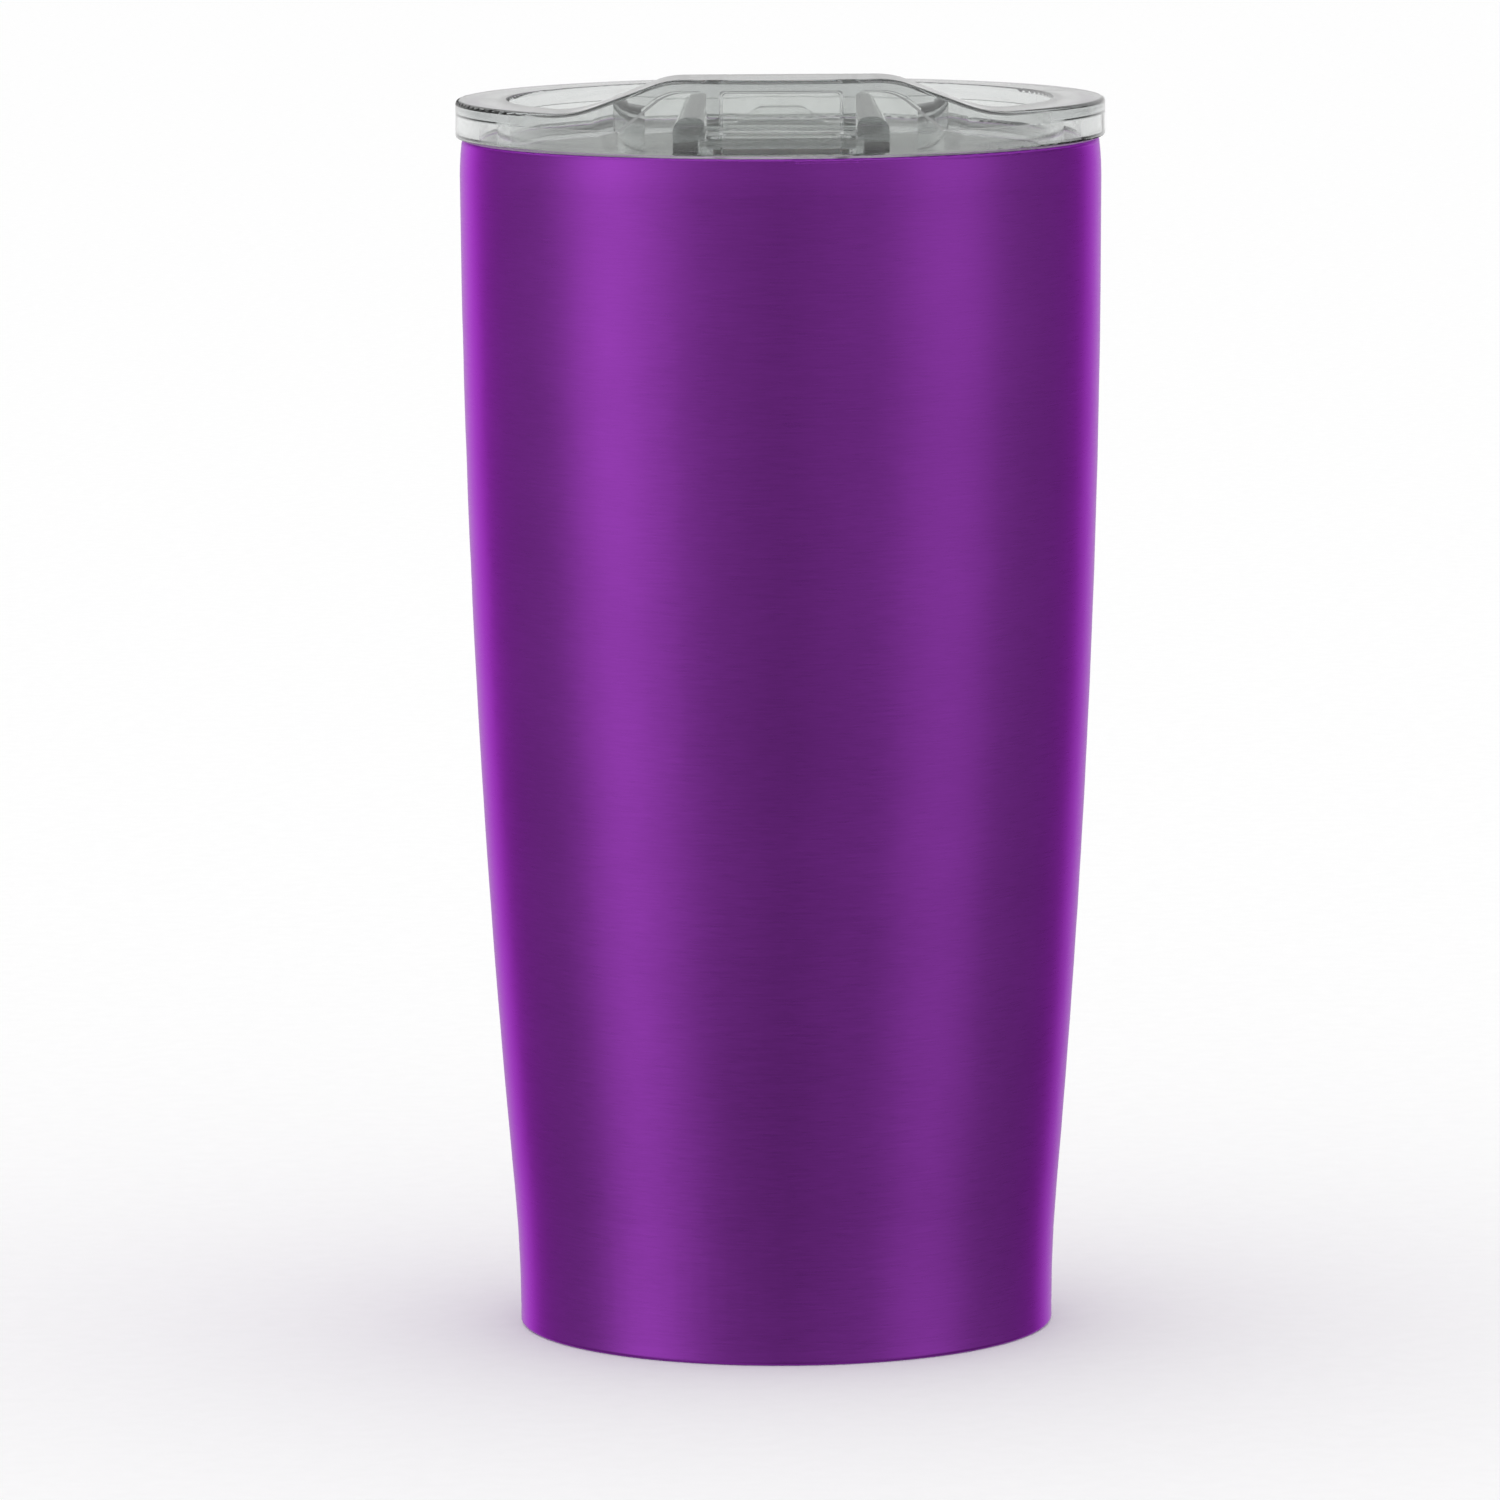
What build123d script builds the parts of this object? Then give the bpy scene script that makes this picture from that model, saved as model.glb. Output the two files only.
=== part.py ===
from build123d import *
import os
from math import sqrt

# Double-wall vacuum tumbler with a push-on clear lid and a sliding drink closure.
# Millimetres. Z is up, the origin is the centre of the base, the drinking side faces -Y.

os.makedirs("parts", exist_ok=True)

# ---- outer wall of the tumbler ----
sheet = 0.6                  # steel sheet used for every wall
foot_radius = 36.92          # narrowest place, just above the bottom edge
foot_edge_round = 0.5
foot_bend_radius = 190.0     # short outward bend above the foot
wall_bend_radius = 1650.0    # long, nearly straight belly of the wall
wall_widest_radius = 44.07
wall_widest_z = 164.0
rest_ring_inner_radius = 34.2
shoulder_start_z = 159.5
shoulder_radius = 43.8
shoulder_z = 163.9
lip_edge_round = 0.8
lip_z = shoulder_z + lip_edge_round
lip_seam_radius = 41.4       # where the outer wall meets the liner's flare

# ---- inner liner ----
mouth_radius = 39.9
lip_flare_round = lip_seam_radius - mouth_radius
liner_straight_z = 148.0     # straight above this height, tapering below it
liner_bend_radius = 1300.0
liner_floor_z = 12.0
liner_floor_round = 9.0

# ---- bottom of the tumbler ----
web_z = 2.4                  # underside of the welded bottom's web
bottom_rim_gap = 0.08
bottom_rim_z = 7.0
port_radius = 0.8
dimple_radius = 4.0
dimple_slope = 0.6
dimple_height = 1.2
plate_sheet = 0.5
plate_z = 0.9
plate_step_radius = 26.0
plate_step = 0.4
plate_edge_round = 0.4
seal_height = 0.84
seal_round = 0.6
getter_y = 18.0
getter_cup_radius = 5.0
getter_cup_height = 2.0
getter_wall = 0.3
getter_pellet_height = 1.4

# ---- lid ----
lid_radius = 44.6
flange_bottom_z = 164.8      # the flange sits on the tumbler's lip
flange_wall_inner_radius = 41.4
flange_under_z = 167.7
flange_top_z = 169.95
flange_edge_round = 0.6
flange_bottom_round = 0.35
recess_radius = 37.2
rim_round = 0.5
deck_top_z = 163.8
deck_under_z = 162.0
plug_radius = 38.9
plug_inner_radius = 37.0
plug_bottom_z = 156.7
groove_radius = 38.0
groove_low_z = 158.2
groove_high_z = 161.2

# raised sipping rim at the front of the lid
hump_top_z = 175.05
hump_foot_half = 28.0        # half width where its slopes would meet the flange
hump_top_half = 15.05        # half width where they would meet its flat top
hump_foot_round = 17.0
hump_top_round = 11.0
hump_back_y = -30.5
hump_reach = 12.0            # the outline's slopes end well before this line
recess_corner_round = 7.0

# hollow moulded under the raised rim
core_foot_half = 24.8
core_half = 23.6             # half width where its sides turn in over the lip
core_side_z = 165.4
core_top_half = 14.6
core_top_z = 173.15
core_side_round = 5.0
core_top_round = 6.0
core_back_y = -32.6
rib_inner = 7.6              # half widths of the two upright ribs that stiffen it
rib_outer = 9.6
rib_round = 0.6

# slider channel, drinking hole and air hole in the deck
rail_outer = 14.0            # half widths, measured from the lid's middle
rail_inner = 10.8
hook_inner = 9.9
hook_under_z = 166.3
rail_top_z = 169.4
rail_outer_round = 1.9
rail_inner_round = 1.3
rail_back_y = 19.6
stop_y = 17.2
stop_top_z = 166.6
drink_hole_width = 15.0
drink_hole_depth = 7.0
drink_hole_y = -25.2
air_hole_radius = 1.2
air_hole_y = 27.5

# ---- slider ----
slider_gap = 0.12            # clearance to the channel on every side
slider_front_y = -30.2
slider_length = 32.0
slider_top_z = 167.25
slider_corner_round = 2.0
slider_edge_round = 0.5
dish_half = 8.0              # shallow dish in its top, with the thumb ridge across it
dish_depth = 0.8
dish_margin = 2.0
thumb_y = -8.0
thumb_depth = 4.0
thumb_half = 6.0             # the ridge swells to a rounded bump in the middle
thumb_bump_z = 169.35
pad_width = 18.0
pad_depth = 9.2
pad_top_z = 165.1
pad_corner_round = 2.5
pad_gap = 0.04
pad_fit = 0.03               # clearance to its pocket in the slider

# ---- lid gasket ----
gasket_radius = 39.85        # stands just inside the mouth
gasket_lip = 0.6
gasket_lip_count = 2
gasket_fit = 0.03            # clearance to the groove it sits in


def save(name, piece):
    piece.label = name
    export_step(piece, f"parts/{name}.step")


# Where the foot's bend runs into the belly: two arcs tangent to each other,
# so the touching point lies on the line between their centres.
foot_centre_x = foot_radius + foot_bend_radius
belly_centre_x = wall_widest_radius - wall_bend_radius
both_radii = foot_bend_radius + wall_bend_radius
centre_rise = sqrt(both_radii**2 - (foot_centre_x - belly_centre_x)**2)
foot_centre_z = wall_widest_z - centre_rise
share = foot_bend_radius / both_radii
blend_x = foot_centre_x + share * (belly_centre_x - foot_centre_x)
blend_z = foot_centre_z + share * centre_rise


def belly_radius(z):
    return belly_centre_x + sqrt(wall_bend_radius**2 - (wall_widest_z - z)**2)


# ================= tumbler =================

# Outer shell: foot turned in to a flat ring, belly, shoulder and the flat of the lip.
with BuildPart() as outer_shell:
    with BuildSketch(Plane.XZ):
        with BuildLine():
            Line((rest_ring_inner_radius, 0), (foot_radius - foot_edge_round, 0))
            foot_corner = TangentArc(
                (foot_radius - foot_edge_round, 0),
                (foot_radius, foot_edge_round),
                tangent=(1, 0),
            )
            Line(foot_corner @ 1, (foot_radius, foot_centre_z))
            foot_bend = TangentArc(
                (foot_radius, foot_centre_z), (blend_x, blend_z), tangent=(0, 1)
            )
            belly = TangentArc(
                foot_bend @ 1,
                (belly_radius(shoulder_start_z), shoulder_start_z),
                tangent=foot_bend % 1,
            )
            TangentArc(belly @ 1, (shoulder_radius, shoulder_z), tangent=(0, 1))
            lip_edge = TangentArc(
                (shoulder_radius, shoulder_z),
                (shoulder_radius - lip_edge_round, lip_z),
                tangent=(0, 1),
            )
            Line(lip_edge @ 1, (lip_seam_radius, lip_z))
            offset(amount=sheet, side=Side.LEFT)
        make_face()
    revolve(axis=Axis.Z)
save("outer_shell", outer_shell.part)

# Inner liner: the cup that holds the drink, flared out to meet the shell at the lip.
liner_floor_radius = mouth_radius - liner_bend_radius + sqrt(
    liner_bend_radius**2 - (liner_straight_z - liner_floor_z)**2
)


def cup(thickness):
    """The drink space grown by a thickness, ending level with the sheet's upper or lower side."""
    top_z = lip_z - thickness
    flare_z = lip_z - lip_flare_round
    with BuildPart() as solid:
        with BuildSketch(Plane.XZ):
            with BuildLine():
                floor = Line(
                    (0, liner_floor_z - thickness),
                    (liner_floor_radius + thickness, liner_floor_z - thickness),
                )
                # drawn downwards, because the bend starts level with the straight part
                taper = TangentArc(
                    (mouth_radius + thickness, liner_straight_z), floor @ 1, tangent=(0, -1)
                )
                straight = Line(taper @ 0, (mouth_radius + thickness, flare_z))
                flare = TangentArc(straight @ 1, (lip_seam_radius, top_z), tangent=(0, 1))
                top = Line(flare @ 1, (0, top_z))
                Line(top @ 1, floor @ 0)
            make_face()
        revolve(axis=Axis.Z)
        floor_rim = edges().filter_by(GeomType.CIRCLE).group_by(Axis.Z)[0]
        fillet(floor_rim, radius=liner_floor_round + thickness)
    return solid.part


drink_space = cup(0)
with BuildPart() as inner_liner:
    add(cup(sheet))
    with BuildSketch(Plane.XY.offset(lip_z - sheet)):
        Circle(lip_seam_radius)
    extrude(amount=sheet)
    add(drink_space, mode=Mode.SUBTRACT)
save("inner_liner", inner_liner.part)

# Welded bottom: closes the vacuum space, with a raised rim and a dimple round the port.
with BuildPart() as shell_bottom:
    rim_radius = foot_radius - sheet - bottom_rim_gap
    with BuildSketch(Plane.XZ):
        with BuildLine():
            Line((rim_radius, bottom_rim_z), (rim_radius, 2 * sheet))
            TangentArc((rim_radius, 2 * sheet), (rim_radius - sheet, sheet), tangent=(0, -1))
            Polyline(
                (rim_radius - sheet, sheet),
                (rest_ring_inner_radius, sheet),
                (rest_ring_inner_radius, web_z),
                (dimple_radius, web_z),
                (dimple_radius - dimple_slope, web_z + dimple_height),
                (port_radius, web_z + dimple_height),
            )
            offset(amount=sheet, side=Side.RIGHT, kind=Kind.INTERSECTION)
        make_face()
    revolve(axis=Axis.Z)
save("shell_bottom", shell_bottom.part)

# Base plate: the trim disc seen from below, pushed up against the welded bottom.
with BuildPart() as base_plate:
    with BuildSketch(Plane.XZ):
        with BuildLine():
            Polyline(
                (rest_ring_inner_radius - bottom_rim_gap, web_z),
                (rest_ring_inner_radius - bottom_rim_gap, plate_z),
                (plate_step_radius, plate_z),
                (plate_step_radius - plate_step, plate_z + plate_step),
                (0, plate_z + plate_step),
            )
            Polyline(
                (0, plate_z + plate_step),
                (0, plate_z + plate_step + plate_sheet),
                (plate_step_radius - plate_step, plate_z + plate_step + plate_sheet),
                (plate_step_radius, plate_z + plate_sheet),
                (rest_ring_inner_radius - bottom_rim_gap - plate_sheet, plate_z + plate_sheet),
                (rest_ring_inner_radius - bottom_rim_gap - plate_sheet, web_z),
                (rest_ring_inner_radius - bottom_rim_gap, web_z),
            )
        make_face()
    revolve(axis=Axis.Z)
    lowest_edges = edges().filter_by(GeomType.CIRCLE).group_by(Axis.Z)[0]
    fillet(lowest_edges.sort_by(SortBy.RADIUS)[-1], radius=plate_edge_round)
save("base_plate", base_plate.part)

# Glass plug melted over the evacuation port, and the getter that keeps the vacuum.
with BuildPart() as vacuum_seal:
    with BuildSketch(Plane.XY.offset(web_z + dimple_height)):
        Circle(dimple_radius - 2 * dimple_slope)
    extrude(amount=-seal_height)
    fillet(edges().group_by(Axis.Z)[0], radius=seal_round)
save("vacuum_seal", vacuum_seal.part)

with BuildPart() as getter_cup:
    with BuildSketch(Plane.XY.offset(web_z + sheet)):
        with Locations((0, getter_y)):
            Circle(getter_cup_radius)
    extrude(amount=getter_cup_height)
    with BuildSketch(Plane.XY.offset(web_z + sheet + getter_wall)):
        with Locations((0, getter_y)):
            Circle(getter_cup_radius - getter_wall)
    extrude(amount=getter_cup_height, mode=Mode.SUBTRACT)
save("getter_cup", getter_cup.part)

with BuildPart() as getter_pellet:
    with BuildSketch(Plane.XY.offset(web_z + sheet + getter_wall)):
        with Locations((0, getter_y)):
            Circle(getter_cup_radius - getter_wall)
    extrude(amount=getter_pellet_height)
save("getter_pellet", getter_pellet.part)

# ================= lid =================

# Hollow under the raised rim, in three cells between the ribs, and kept clear of the
# plug wall, which runs all the way round.
with BuildPart() as front_core:
    with BuildSketch(Plane.XZ.offset(-core_back_y)):
        with BuildLine():
            Polyline(
                (-core_foot_half, deck_under_z),
                (-core_half, core_side_z),
                (-core_top_half, core_top_z),
                (core_top_half, core_top_z),
                (core_half, core_side_z),
                (core_foot_half, deck_under_z),
                (-core_foot_half, deck_under_z),
            )
        make_face()
        top_knees = vertices().group_by(Axis.Y)[-1]
        side_knees = vertices().group_by(Axis.Y)[-2]
        fillet(top_knees, radius=core_top_round)
        fillet(side_knees, radius=core_side_round)
        with Locations((-(rib_inner + rib_outer) / 2, 0), ((rib_inner + rib_outer) / 2, 0)):
            Rectangle(
                rib_outer - rib_inner,
                hump_top_z,
                align=(Align.CENTER, Align.MIN),
                mode=Mode.SUBTRACT,
            )
        rib_corners = [v for v in vertices().group_by(Axis.Y)[-1] if abs(v.X) <= rib_outer]
        fillet(rib_corners, radius=rib_round)
    extrude(amount=lid_radius)
    with BuildSketch(Plane.XY.offset(deck_under_z)):
        Circle(flange_wall_inner_radius)
        Circle(plug_radius, mode=Mode.SUBTRACT)
        Circle(plug_inner_radius)
    extrude(amount=core_top_z, mode=Mode.INTERSECT)

# Raised rim: its front outline drawn through the lid, kept on the drinking side only.
with BuildPart() as hump:
    with BuildSketch(Plane.XZ.offset(hump_reach)):
        with BuildLine():
            Polyline(
                (-lid_radius, flange_top_z),
                (-hump_foot_half, flange_top_z),
                (-hump_top_half, hump_top_z),
                (hump_top_half, hump_top_z),
                (hump_foot_half, flange_top_z),
                (lid_radius, flange_top_z),
                (lid_radius, flange_under_z),
                (-lid_radius, flange_under_z),
                (-lid_radius, flange_top_z),
            )
        make_face()
        knees = vertices().group_by(Axis.Y)[-2].sort_by(Axis.X)[1:-1]
        fillet(knees, radius=hump_foot_round)
        fillet(vertices().group_by(Axis.Y)[-1], radius=hump_top_round)
    extrude(amount=lid_radius)
    with BuildSketch(Plane.XY.offset(flange_under_z)):
        Circle(lid_radius)
    extrude(amount=hump_top_z, mode=Mode.INTERSECT)

# Recess: a round well with a straight wall behind the raised rim.
with BuildPart() as recess:
    with BuildSketch(Plane.XY.offset(deck_top_z)):
        Circle(recess_radius)
        with Locations((0, hump_back_y)):
            Rectangle(
                2 * recess_radius,
                recess_radius,
                align=(Align.CENTER, Align.MAX),
                mode=Mode.SUBTRACT,
            )
        fillet(vertices(), radius=recess_corner_round)
    extrude(amount=hump_top_z)

# Lid body: flange, plug wall with gasket groove, recessed deck.
with BuildPart() as lid_body:
    with BuildSketch(Plane.XZ):
        with BuildLine():
            Polyline(
                (0, deck_under_z),
                (plug_inner_radius, deck_under_z),
                (plug_inner_radius, plug_bottom_z),
                (plug_radius, plug_bottom_z),
                (plug_radius, groove_low_z),
                (groove_radius, groove_low_z),
                (groove_radius, groove_high_z),
                (plug_radius, groove_high_z),
                (plug_radius, flange_under_z),
                (flange_wall_inner_radius, flange_under_z),
                (flange_wall_inner_radius, flange_bottom_z),
                (lid_radius, flange_bottom_z),
                (lid_radius, flange_top_z),
                (0, flange_top_z),
                (0, deck_under_z),
            )
        make_face()
    revolve(axis=Axis.Z)
    add(hump.part)
    add(recess.part, mode=Mode.SUBTRACT)

    # both edges of the flange run up and over the raised rim in one smooth line
    outer_edge = edges().group_by(Axis.Z)[-1].sort_by(Axis.Y)[0]
    fillet(outer_edge, radius=flange_edge_round)
    inner_edge = edges().filter_by(GeomType.LINE).group_by(Axis.Z)[-1].sort_by(Axis.Y)[-1]
    fillet(inner_edge, radius=rim_round)
    bottom_edges = edges().filter_by_position(
        Axis.Z, flange_bottom_z - 0.01, flange_bottom_z + 0.01
    )
    fillet(bottom_edges.sort_by(SortBy.LENGTH)[-1], radius=flange_bottom_round)
    add(front_core.part, mode=Mode.SUBTRACT)

    # slider channel: two hooked rails and a stop across their back end
    with BuildSketch(Plane.XZ.offset(-rail_back_y)):
        with BuildLine():
            Polyline(
                (rail_outer, deck_top_z),
                (rail_outer, rail_top_z),
                (hook_inner, rail_top_z),
                (hook_inner, hook_under_z),
                (rail_inner, hook_under_z),
                (rail_inner, deck_top_z),
                (rail_outer, deck_top_z),
            )
        make_face()
        fillet(vertices().group_by(Axis.Y)[-1].sort_by(Axis.X)[-1], radius=rail_outer_round)
        fillet(vertices().group_by(Axis.Y)[-1].sort_by(Axis.X)[0], radius=rail_inner_round)
        mirror(about=Plane.YZ)
    extrude(amount=rail_back_y - hump_back_y)
    with BuildSketch(Plane.XY.offset(deck_top_z)):
        with Locations((0, stop_y)):
            Rectangle(2 * rail_outer, rail_back_y - stop_y, align=(Align.CENTER, Align.MIN))
    extrude(amount=stop_top_z - deck_top_z)

    # drinking hole behind the raised rim, air hole at the back
    with BuildSketch(Plane.XY.offset(deck_under_z)):
        with Locations((0, drink_hole_y)):
            SlotOverall(drink_hole_width, drink_hole_depth)
        with Locations((0, air_hole_y)):
            Circle(air_hole_radius)
    extrude(amount=deck_top_z - deck_under_z, mode=Mode.SUBTRACT)
save("lid_body", lid_body.part)

# Lid gasket: a soft ring in the plug's groove, with lips that wipe the mouth.
with BuildPart() as lid_gasket:
    with BuildSketch(Plane.XZ):
        with Locations((groove_radius + gasket_fit, groove_low_z + gasket_fit)):
            Rectangle(
                plug_radius - groove_radius - gasket_fit,
                groove_high_z - groove_low_z - 2 * gasket_fit,
                align=(Align.MIN, Align.MIN),
            )
        pitch = (groove_high_z - groove_low_z) / gasket_lip_count
        for i in range(gasket_lip_count):
            with Locations((plug_radius, groove_low_z + (i + 0.5) * pitch)):
                Rectangle(
                    gasket_radius - plug_radius, gasket_lip, align=(Align.MIN, Align.CENTER)
                )
        fillet(vertices().group_by(Axis.X)[-1], radius=gasket_lip / 3)
    revolve(axis=Axis.Z)
save("lid_gasket", lid_gasket.part)

# Slider: a flanged bar held down by the rail hooks, dished on top with a thumb ridge.
with BuildPart() as slider:
    under_z = deck_top_z + slider_gap
    flange_half = rail_inner - slider_gap
    body_half = hook_inner - slider_gap
    with BuildSketch(Plane.XY.offset(under_z)):
        with Locations((0, slider_front_y)):
            Rectangle(2 * flange_half, slider_length, align=(Align.CENTER, Align.MIN))
        fillet(vertices(), radius=slider_corner_round)
    extrude(amount=hook_under_z - slider_gap - under_z)
    with BuildSketch(Plane.XY.offset(under_z)):
        with Locations((0, slider_front_y)):
            Rectangle(2 * body_half, slider_length, align=(Align.CENTER, Align.MIN))
        fillet(vertices(), radius=slider_corner_round)
    extrude(amount=slider_top_z - under_z)
    fillet(edges().group_by(Axis.Z)[-1], radius=slider_edge_round)
    with BuildSketch(Plane.XY.offset(slider_top_z - dish_depth)):
        with Locations((0, slider_front_y + dish_margin)):
            Rectangle(
                2 * dish_half, slider_length - 2 * dish_margin, align=(Align.CENTER, Align.MIN)
            )
        fillet(vertices(), radius=slider_corner_round)
    extrude(amount=dish_depth, mode=Mode.SUBTRACT)
    with BuildSketch(Plane.XZ.offset(-thumb_y + thumb_depth / 2)):
        with BuildLine():
            base_z = slider_top_z - dish_depth
            Polyline(
                (-dish_half, base_z),
                (-dish_half, slider_top_z),
                (-thumb_half, slider_top_z),
                (-thumb_half / 2, thumb_bump_z),
                (thumb_half / 2, thumb_bump_z),
                (thumb_half, slider_top_z),
                (dish_half, slider_top_z),
                (dish_half, base_z),
                (-dish_half, base_z),
            )
        make_face()
        fillet(
            [v for v in vertices() if abs(v.X) < thumb_half + 0.1], radius=thumb_half / 3
        )
    extrude(amount=-thumb_depth)
    # pocket for the soft pad
    with BuildSketch(Plane.XY.offset(under_z)):
        with Locations((0, drink_hole_y)):
            RectangleRounded(pad_width, pad_depth, pad_corner_round)
    extrude(amount=pad_top_z - under_z, mode=Mode.SUBTRACT)
save("slider", slider.part)

# Slider seal: the soft pad that closes the drinking hole.
with BuildPart() as slider_seal:
    with BuildSketch(Plane.XY.offset(deck_top_z + pad_gap)):
        with Locations((0, drink_hole_y)):
            RectangleRounded(pad_width - 2 * pad_fit, pad_depth - 2 * pad_fit, pad_corner_round)
    extrude(amount=pad_top_z - pad_fit - deck_top_z - pad_gap)
save("slider_seal", slider_seal.part)
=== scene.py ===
import bpy
from math import pi, radians
from mathutils import Matrix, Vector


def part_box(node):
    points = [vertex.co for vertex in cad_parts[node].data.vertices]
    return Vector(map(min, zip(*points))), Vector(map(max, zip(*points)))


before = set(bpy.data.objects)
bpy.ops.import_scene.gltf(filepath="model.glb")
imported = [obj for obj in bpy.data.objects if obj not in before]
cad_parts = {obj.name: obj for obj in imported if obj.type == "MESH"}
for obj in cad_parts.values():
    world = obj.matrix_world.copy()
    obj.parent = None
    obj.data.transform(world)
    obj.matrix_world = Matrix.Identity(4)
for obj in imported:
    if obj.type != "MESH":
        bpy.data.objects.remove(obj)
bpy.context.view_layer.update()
MM = 0.001
scene = bpy.context.scene


# ---------------------------------------------------------------- node helpers
class Graph:
    """A short way to write a node tree: add nodes, and join them by passing sockets as values."""

    def __init__(self, tree):
        self.tree = tree
        tree.nodes.clear()

    def node(self, kind, inputs=None, **settings):
        made = self.tree.nodes.new(kind)
        for name, value in settings.items():
            setattr(made, name, value)
        for name, value in (inputs or {}).items():
            self.set(made.inputs[name], value)
        return made

    def set(self, socket, value):
        if isinstance(value, bpy.types.NodeSocket):
            self.tree.links.new(value, socket)
        else:
            socket.default_value = value

    def math(self, operation, a, b=0.0, c=0.0):
        return self.node("ShaderNodeMath", {0: a, 1: b, 2: c}, operation=operation).outputs[0]

    def merge(self, a, b, share):
        """The given share of a, with b for the rest."""
        return self.math("MULTIPLY_ADD", a, share, self.math("MULTIPLY", b, 1 - share))

    def vary(self, value, low, high):
        """Goes from low to high as the value goes from 0 to 1."""
        return self.math("MULTIPLY_ADD", value, high - low, low)

    def blend(self, factor, a, b):
        made = self.node("ShaderNodeMix", {"Factor": factor}, data_type="RGBA")
        self.set(made.inputs[6], a)
        self.set(made.inputs[7], b)
        return made.outputs[2]

    def ramp(self, value, stops):
        made = self.node("ShaderNodeValToRGB", {"Fac": value})
        elements = made.color_ramp.elements
        while len(elements) < len(stops):
            elements.new(0.5)
        for element, (place, colour) in zip(elements, stops):
            element.position = place
            element.color = (*colour, 1)
        return made.outputs["Color"]

    def place(self):
        return self.node("ShaderNodeTexCoord").outputs["Object"]

    def axes(self, vector):
        return self.node("ShaderNodeSeparateXYZ", {0: vector}).outputs

    def radius(self, x, y):
        """Distance from the tumbler's axis."""
        squares = self.math("ADD", self.math("MULTIPLY", x, x), self.math("MULTIPLY", y, y))
        return self.math("SQRT", squares)

    def noise(self, scale, detail=2.0, roughness=0.5, vector=None):
        """Noise with its own number of lumps per metre along each axis."""
        mapped = self.node(
            "ShaderNodeMapping", {"Vector": vector or self.place(), "Scale": scale}
        ).outputs["Vector"]
        return self.node(
            "ShaderNodeTexNoise",
            {"Vector": mapped, "Scale": 1.0, "Detail": detail, "Roughness": roughness},
        ).outputs["Fac"]

    def bump(self, height, depth, strength=1.0, under=None):
        inputs = {"Height": height, "Strength": strength, "Distance": depth}
        if under is not None:
            inputs["Normal"] = under
        return self.node("ShaderNodeBump", inputs).outputs["Normal"]

    def principled(self, **inputs):
        named = {name.replace("_", " "): value for name, value in inputs.items()}
        return self.node("ShaderNodeBsdfPrincipled", named).outputs[0]

    def finish(self, surface, volume=None):
        out = self.node("ShaderNodeOutputMaterial", {"Surface": surface})
        if volume is not None:
            self.set(out.inputs["Volume"], volume)


def material(name):
    made = bpy.data.materials.new(name)
    made.use_nodes = True
    return made, Graph(made.node_tree)


def opaque(colour):
    return (*colour, 1)


def shade(colour, factor):
    return tuple(factor * c for c in colour)


# ---------------------------------------------------------------- steel and lacquer
BARE_STEEL = (0.60, 0.60, 0.61)
LACQUER = (0.42, 0.067, 0.62)
LACQUER_EDGE = (0.76, 0.41, 0.86)
STROKE_LENGTH = 4.2 * MM
STROKE_WIDTH = 0.21 * MM
LIP_STEEL = (0.86, 0.86, 0.87)
LIP_ROUND = 0.8 * MM         # radius of the lip's rounded edge
LIP_ROUND_AT = 43.0 * MM     # distance of its centre line from the axis
LIP_BLEND = 0.2 * MM         # height over which the wall's own normal gives way to it
BARE_START = 0.22 * MM       # the lacquer ends this far below the top of the lip
BARE_FULL = 0.19 * MM
BARE_WAVER = 0.03 * MM
QUARTER_TURN = 0.25


def hairlines(g, length, width):
    """Brushed strokes that run round the tumbler, as noise much longer than it is wide."""
    strokes = g.noise((1 / length, 1 / length, 1 / width), 3.0, 0.6)
    fine = g.noise((3 / length, 3 / length, 2.4 / width), 2.0, 0.5)
    return g.merge(fine, strokes, 0.35)


def lip_normal(g, lip):
    """The true normal of the lip's rounded edge, which hides the flats of its mesh."""
    x, y, z = g.axes(g.place())
    across = g.radius(x, y)
    past_centre = g.math("DIVIDE", g.math("SUBTRACT", across, LIP_ROUND_AT), across)
    out = g.math("MAXIMUM", past_centre, 0.0)
    rise = g.math("SUBTRACT", z, lip - LIP_ROUND)
    from_centre = g.node(
        "ShaderNodeCombineXYZ",
        {0: g.math("MULTIPLY", x, out), 1: g.math("MULTIPLY", y, out), 2: rise},
    ).outputs[0]
    outward = g.node("ShaderNodeVectorMath", {0: from_centre}, operation="NORMALIZE").outputs[0]
    turned = g.node(
        "ShaderNodeVectorTransform",
        {0: outward},
        vector_type="NORMAL",
        convert_from="OBJECT",
        convert_to="WORLD",
    ).outputs[0]
    near = g.node(
        "ShaderNodeMapRange", {"Value": rise, "From Min": 0.0, "From Max": LIP_BLEND}
    ).outputs[0]
    own = g.node("ShaderNodeNewGeometry").outputs["Normal"]
    return g.node("ShaderNodeMix", {0: near, 4: own, 5: turned}, data_type="VECTOR").outputs[1]


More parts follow.
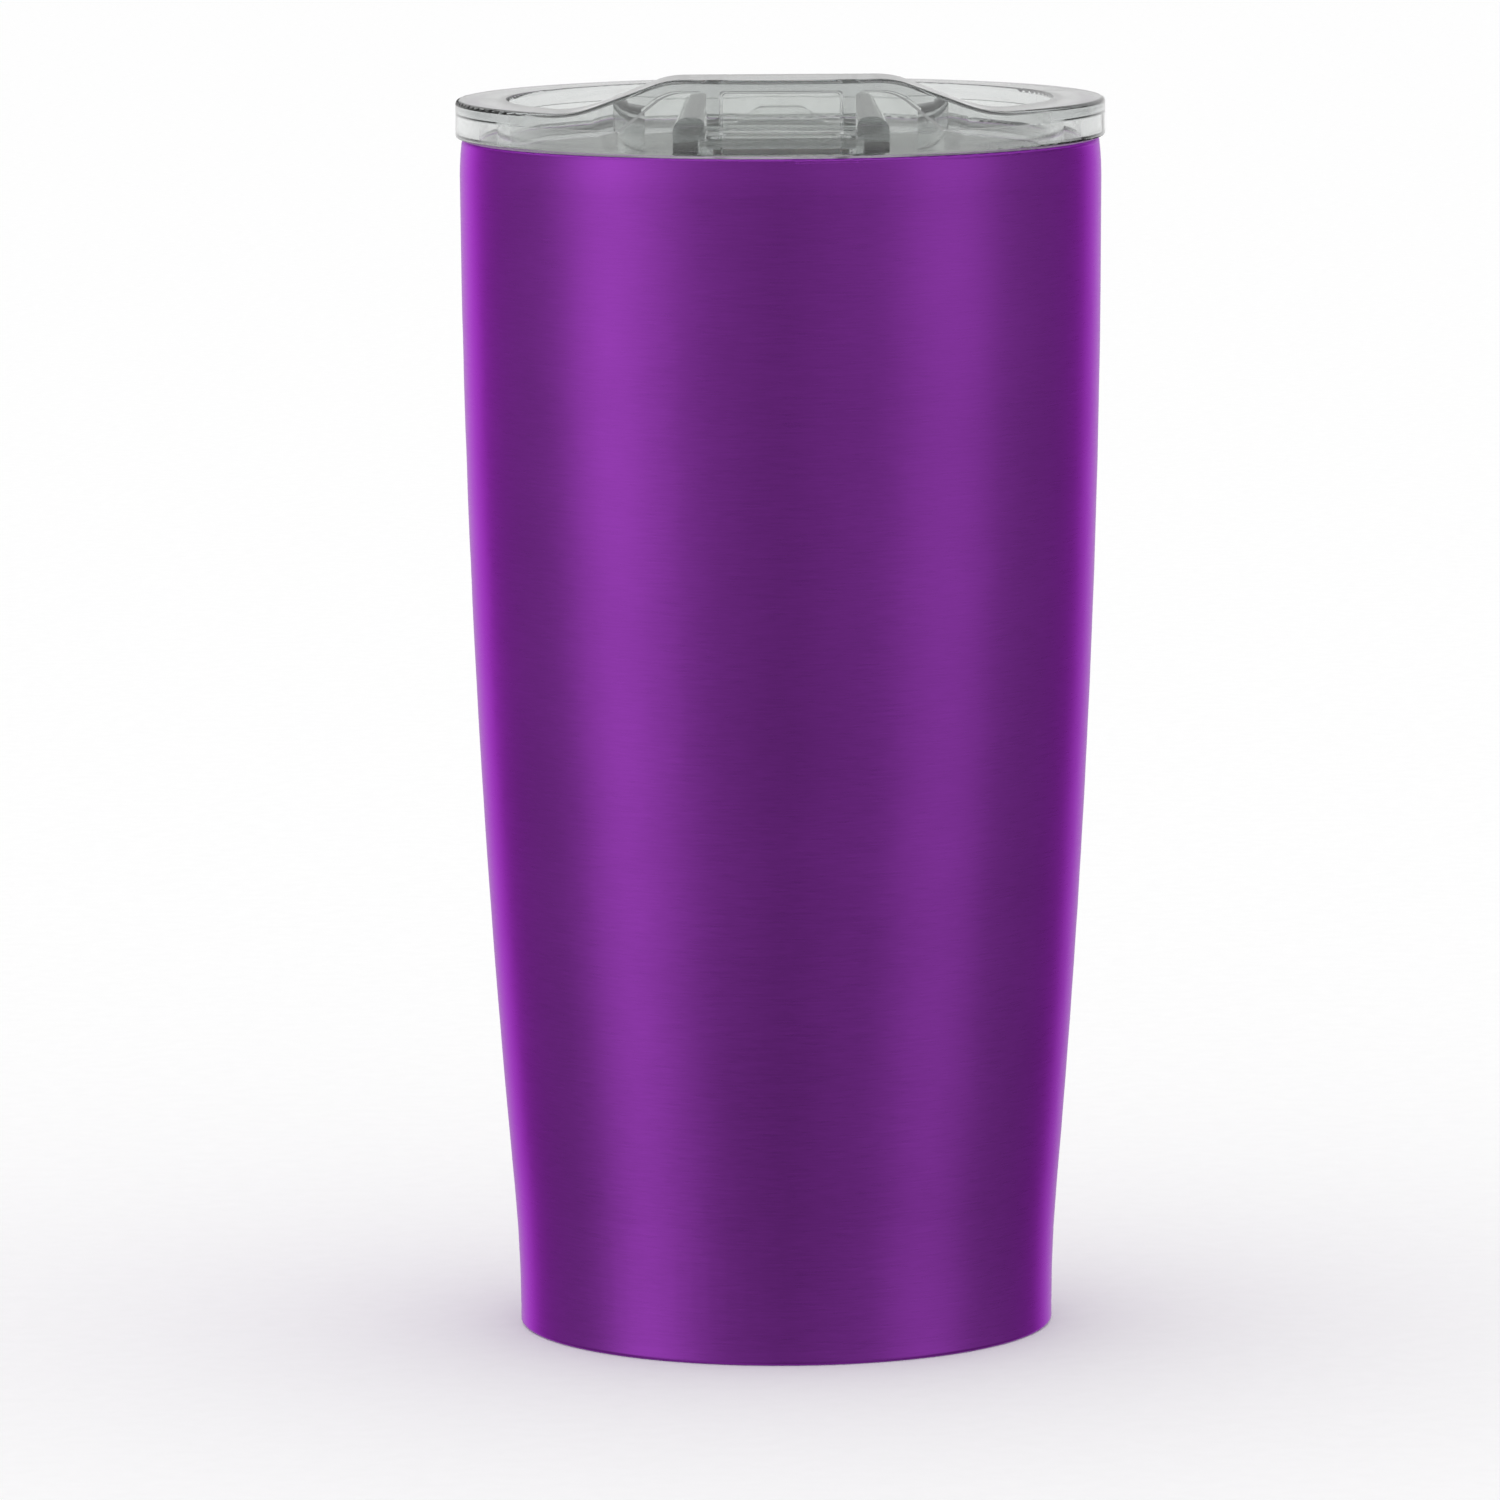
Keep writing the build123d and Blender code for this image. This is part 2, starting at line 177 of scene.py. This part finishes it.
def lacquered_steel():
    """Translucent purple lacquer over round-brushed steel, left bare on top of the lip."""
    made, g = material("purple_lacquer")
    strokes = hairlines(g, STROKE_LENGTH, STROKE_WIDTH)
    cloud = g.noise((60, 60, 60), 3.0)
    tone = g.merge(cloud, strokes, 0.3)
    purple = g.ramp(tone, [(0.35, shade(LACQUER, 0.90)), (0.65, shade(LACQUER, 1.07))])
    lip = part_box("outer_shell")[1].z
    height = g.axes(g.place())["Z"]
    uneven = g.math("MULTIPLY_ADD", g.noise((300, 300, 300)), BARE_WAVER, height)
    bare = g.node(
        "ShaderNodeMapRange",
        {"Value": uneven, "From Min": lip - BARE_START, "From Max": lip - BARE_FULL},
    ).outputs[0]
    surface = g.principled(
        Base_Color=g.blend(bare, purple, opaque(LIP_STEEL)),
        Metallic=1.0,
        Roughness=g.vary(strokes, 0.19, 0.41),
        Specular_Tint=opaque(LACQUER_EDGE),
        Anisotropic=0.65,
        Anisotropic_Rotation=QUARTER_TURN,
        Tangent=g.node("ShaderNodeTangent", direction_type="RADIAL", axis="Z").outputs[0],
        Normal=g.bump(strokes, 0.004 * MM, 0.6, lip_normal(g, lip)),
    )
    g.finish(surface)
    return made


def round_brushed(name, tint, roughness, length, width):
    """Bare steel with strokes that run round the axis, of the given length and width."""
    made, g = material(name)
    x, y, z = g.axes(g.place())
    # the strokes stay round on level faces too, where the radius takes the height's place
    both = g.math("ADD", g.radius(x, y), z)
    turned = g.node("ShaderNodeCombineXYZ", {0: x, 1: y, 2: both}).outputs[0]
    strokes = g.noise((1 / length, 1 / length, 1 / width), 4.0, 0.6, turned)
    cloud = g.noise((45, 45, 45), 3.0)
    tone = g.merge(cloud, strokes, 0.35)
    surface = g.principled(
        Base_Color=g.ramp(tone, [(0.35, shade(tint, 0.93)), (0.65, tint)]),
        Metallic=1.0,
        Roughness=g.vary(strokes, roughness - 0.1, roughness + 0.1),
        Anisotropic=0.5,
        Anisotropic_Rotation=QUARTER_TURN,
        Tangent=g.node("ShaderNodeTangent", direction_type="RADIAL", axis="Z").outputs[0],
        Normal=g.bump(strokes, 0.005 * MM, 0.6),
    )
    g.finish(surface)
    return made


def sintered(name, tint):
    made, g = material(name)
    grain = g.noise((2600, 2600, 2600), 5.0, 0.65)
    surface = g.principled(
        Base_Color=g.ramp(grain, [(0.35, shade(tint, 0.5)), (0.7, tint)]),
        Metallic=0.7,
        Roughness=g.vary(grain, 0.5, 0.8),
        Normal=g.bump(grain, 0.05 * MM),
    )
    g.finish(surface)
    return made


def melted_glass(name, tint):
    made, g = material(name)
    bubbles = g.node("ShaderNodeTexVoronoi", {"Vector": g.place(), "Scale": 2200.0}).outputs[0]
    flow = g.noise((500, 500, 500), 3.0)
    surface = g.principled(
        Base_Color=g.ramp(flow, [(0.35, shade(tint, 0.6)), (0.7, tint)]),
        Roughness=g.vary(flow, 0.05, 0.20),
        Coat_Weight=0.6,
        Normal=g.bump(bubbles, 0.04 * MM, 0.5),
    )
    g.finish(surface)
    return made


# ---------------------------------------------------------------- plastic and silicone
SMOKE = (0.50, 0.527, 0.522)
LID_SMOKE = 66.0             # density of the tint, per metre
SLIDER_SMOKE = 48.0
PLASTIC_FACE = (0.985, 0.99, 0.985)
PLASTIC_IOR = 1.53


def clear_plastic(name, density):
    """Smoke-tinted clear moulding: tinted by its thickness, with faint flow marks and scuffs."""
    made, g = material(name)
    flow = g.noise((70, 70, 160), 2.0)
    scuffs = g.noise((3000, 180, 180), 4.0, 0.7)
    surface = g.principled(
        Base_Color=opaque(PLASTIC_FACE),
        Roughness=g.vary(scuffs, 0.005, 0.035),
        IOR=PLASTIC_IOR,
        Transmission_Weight=1.0,
        Normal=g.bump(flow, 0.03 * MM, 0.5),
    )
    tint = g.node("ShaderNodeVolumeAbsorption", {"Color": opaque(SMOKE), "Density": density})
    g.finish(surface, tint.outputs[0])
    return made


def silicone(name, tint):
    made, g = material(name)
    grain = g.noise((1500, 1500, 1500), 3.0)
    dust = g.noise((220, 220, 220), 4.0, 0.65)
    surface = g.principled(
        Base_Color=g.ramp(dust, [(0.4, shade(tint, 0.92)), (0.7, tint)]),
        Roughness=g.vary(grain, 0.38, 0.58),
        Subsurface_Weight=0.35,
        Subsurface_Scale=2 * MM,
        Normal=g.bump(grain, 0.02 * MM, 0.7),
    )
    g.finish(surface)
    return made


DULL_STEEL = (0.50, 0.50, 0.51)
BRIGHT_STEEL = (0.88, 0.88, 0.89)
SEAL_GLASS = (0.42, 0.36, 0.28)
GETTER_METAL = (0.22, 0.22, 0.23)
SOFT_WHITE = (0.72, 0.73, 0.72)
plain_steel = round_brushed("plain_steel", DULL_STEEL, 0.38, 9 * MM, 0.3 * MM)
soft_white = silicone("silicone", SOFT_WHITE)
looks = {
    "outer_shell": lacquered_steel(),
    "inner_liner": round_brushed("liner_steel", BRIGHT_STEEL, 0.30, 9 * MM, 0.3 * MM),
    "shell_bottom": plain_steel,
    "base_plate": round_brushed("base_steel", BARE_STEEL, 0.32, 12 * MM, 0.25 * MM),
    "vacuum_seal": melted_glass("seal_glass", SEAL_GLASS),
    "getter_cup": plain_steel,
    "getter_pellet": sintered("getter_metal", GETTER_METAL),
    "lid_body": clear_plastic("smoke_clear", LID_SMOKE),
    "lid_gasket": soft_white,
    "slider": clear_plastic("slider_clear", SLIDER_SMOKE),
    "slider_seal": soft_white,
}
for name, look in looks.items():
    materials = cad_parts[name].data.materials
    materials.clear()
    materials.append(look)

# ---------------------------------------------------------------- floor
FLOOR_SIZE = 16.0
FLOOR_GAP = 0.05 * MM        # keeps the floor from lying in the plane of the foot
bpy.ops.mesh.primitive_plane_add(size=FLOOR_SIZE, location=(0, 0, -FLOOR_GAP))
floor = bpy.context.object
floor.name = "floor"
floor.visible_glossy = False
floor_look, g = material("floor")
paper = g.noise((300, 300, 300), 4.0)
white = g.ramp(paper, [(0.3, (0.955, 0.955, 0.955)), (0.7, (0.975, 0.975, 0.975))])
matte = g.principled(Base_Color=white, Roughness=0.9, Specular_IOR_Level=0.2)
# seen from below the floor is left out, so that the underside of the object shows
eye = g.node(
    "ShaderNodeVectorTransform",
    {0: (0, 0, 0)},
    vector_type="POINT",
    convert_from="CAMERA",
    convert_to="WORLD",
)
from_below = g.math("LESS_THAN", g.axes(eye.outputs[0])["Z"], 0.0)
clear = g.node("ShaderNodeBsdfTransparent").outputs[0]
g.finish(g.node("ShaderNodeMixShader", {0: from_below, 1: matte, 2: clear}).outputs[0])
floor.data.materials.append(floor_look)

# ---------------------------------------------------------------- studio light
# White to look at and for soft light. Reflections see a ring of tall panels that turns
# with the camera: (degrees to the right of straight back at the camera, brightness).
# The list was written one by one. Most of its angles are those that measured points across
# the body reflect, and the levels were scaled until the tones there came close to the
# photograph's.
SOFT_LIGHT = 1.06
PANEL_LIGHT = 1.1
PANELS = [
    (-180, 0.85),
    (-170, 0.85),
    (-160, 1.00),
    (-152, 1.05),
    (-145, 0.88),
    (-136, 0.48),
    (-124, 0.36),
    (-100, 0.37),
    (-88, 0.50),
    (-76, 0.82),
    (-66, 1.00),
    (-57, 0.95),
    (-47, 0.77),
    (-29, 0.46),
    (0, 0.33),
    (23, 0.42),
    (36, 0.43),
    (53, 0.66),
    (66, 0.71),
    (77, 0.60),
    (89, 0.38),
    (106, 0.31),
    (123, 0.29),
    (137, 0.36),
    (147, 0.76),
    (160, 0.95),
    (170, 0.85),
    (180, 0.85),
]
LEVEL_LIGHT = 0.97           # share of the panels' light that arrives level
DARKER_BELOW = 1.2           # how fast it falls off below level
LEAST_BELOW = 0.5
MOST_ABOVE = 1.05
CEILING = 0.72               # share that arrives from above the panels' top edge
CEILING_START = 0.10
CEILING_FULL = 0.24
DEEP_LIGHT = 1.1             # what a second reflection sees all round
INSIDE_PLASTIC = 0.65        # share of the panels that reflections in the clear lid see

world = bpy.data.worlds.new("studio")
scene.world = world
world.use_nodes = True
g = Graph(world.node_tree)
to_camera = g.node(
    "ShaderNodeVectorTransform",
    {0: g.node("ShaderNodeTexCoord").outputs["Generated"]},
    vector_type="VECTOR",
    convert_from="WORLD",
    convert_to="CAMERA",
)
right, up, ahead = g.axes(to_camera.outputs[0])
turn = g.math("ARCTAN2", right, g.math("MULTIPLY", ahead, -1.0))
panels = g.ramp(
    g.math("MULTIPLY_ADD", turn, 0.5 / pi, 0.5),
    [((degrees + 180) / 360, (level / PANEL_LIGHT,) * 3) for degrees, level in PANELS],
)
lower = g.math("MULTIPLY_ADD", up, DARKER_BELOW, LEVEL_LIGHT)
lower = g.math("MINIMUM", g.math("MAXIMUM", lower, LEAST_BELOW), MOST_ABOVE)
ceiling = g.node(
    "ShaderNodeMapRange",
    {
        "Value": up,
        "From Min": CEILING_START,
        "From Max": CEILING_FULL,
        "To Min": 1.0,
        "To Max": CEILING,
    },
    interpolation_type="SMOOTHSTEP",
).outputs[0]
entered = g.node("ShaderNodeLightPath").outputs["Transmission Depth"]
inside = g.vary(g.math("MINIMUM", entered, 1.0), 1.0, INSIDE_PLASTIC)
level = g.math("MULTIPLY", g.math("MULTIPLY", lower, ceiling), inside)
level = g.math("MULTIPLY", level, PANEL_LIGHT)
dimmed = g.node("ShaderNodeVectorMath", {0: panels, "Scale": level}, operation="SCALE").outputs[0]
# after a second reflection the studio is an even, bright room, which fills the cup
bounces = g.node("ShaderNodeLightPath").outputs["Glossy Depth"]
is_deep = g.math("MINIMUM", g.math("MAXIMUM", g.math("SUBTRACT", bounces, 1.0), 0.0), 1.0)
reflected = g.blend(is_deep, dimmed, opaque((DEEP_LIGHT,) * 3))
is_glossy = g.node("ShaderNodeLightPath").outputs["Is Glossy Ray"]
is_diffuse = g.node("ShaderNodeLightPath").outputs["Is Diffuse Ray"]
seen = g.blend(is_diffuse, (1, 1, 1, 1), opaque((SOFT_LIGHT,) * 3))
light = g.blend(is_glossy, seen, reflected)
sky = g.node("ShaderNodeBackground", {"Color": light, "Strength": 1.0}).outputs[0]
g.node("ShaderNodeOutputWorld", {"Surface": sky})

# ---------------------------------------------------------------- camera
# The photograph's viewpoint, solved from the outlines of the lid and the foot.
SENSOR_MM = 36.0
LENS_MM = 249.95
NEAREST = 0.05
FARTHEST = 40.0
DISTANCE = 1.4294
HEIGHT = 0.26095
ASIDE = -0.00464
PITCH = radians(7.228)
ROLL = radians(0.316)
camera_data = bpy.data.cameras.new("camera")
camera = bpy.data.objects.new("camera", camera_data)
scene.collection.objects.link(camera)
scene.camera = camera
camera_data.sensor_width = SENSOR_MM
camera_data.lens = LENS_MM
camera_data.clip_start = NEAREST
camera_data.clip_end = FARTHEST
camera.matrix_world = (
    Matrix.Translation((ASIDE, -DISTANCE, HEIGHT))
    @ Matrix.Rotation(radians(90) - PITCH, 4, "X")
    @ Matrix.Rotation(-ROLL, 4, "Z")
)

# ---------------------------------------------------------------- picture settings
scene.view_settings.view_transform = "Standard"
CLEAR_BOUNCES = 24           # enough to get through every wall of the clear lid
MIRROR_BOUNCES = 8
scene.cycles.max_bounces = CLEAR_BOUNCES
scene.cycles.transmission_bounces = CLEAR_BOUNCES
scene.cycles.glossy_bounces = MIRROR_BOUNCES
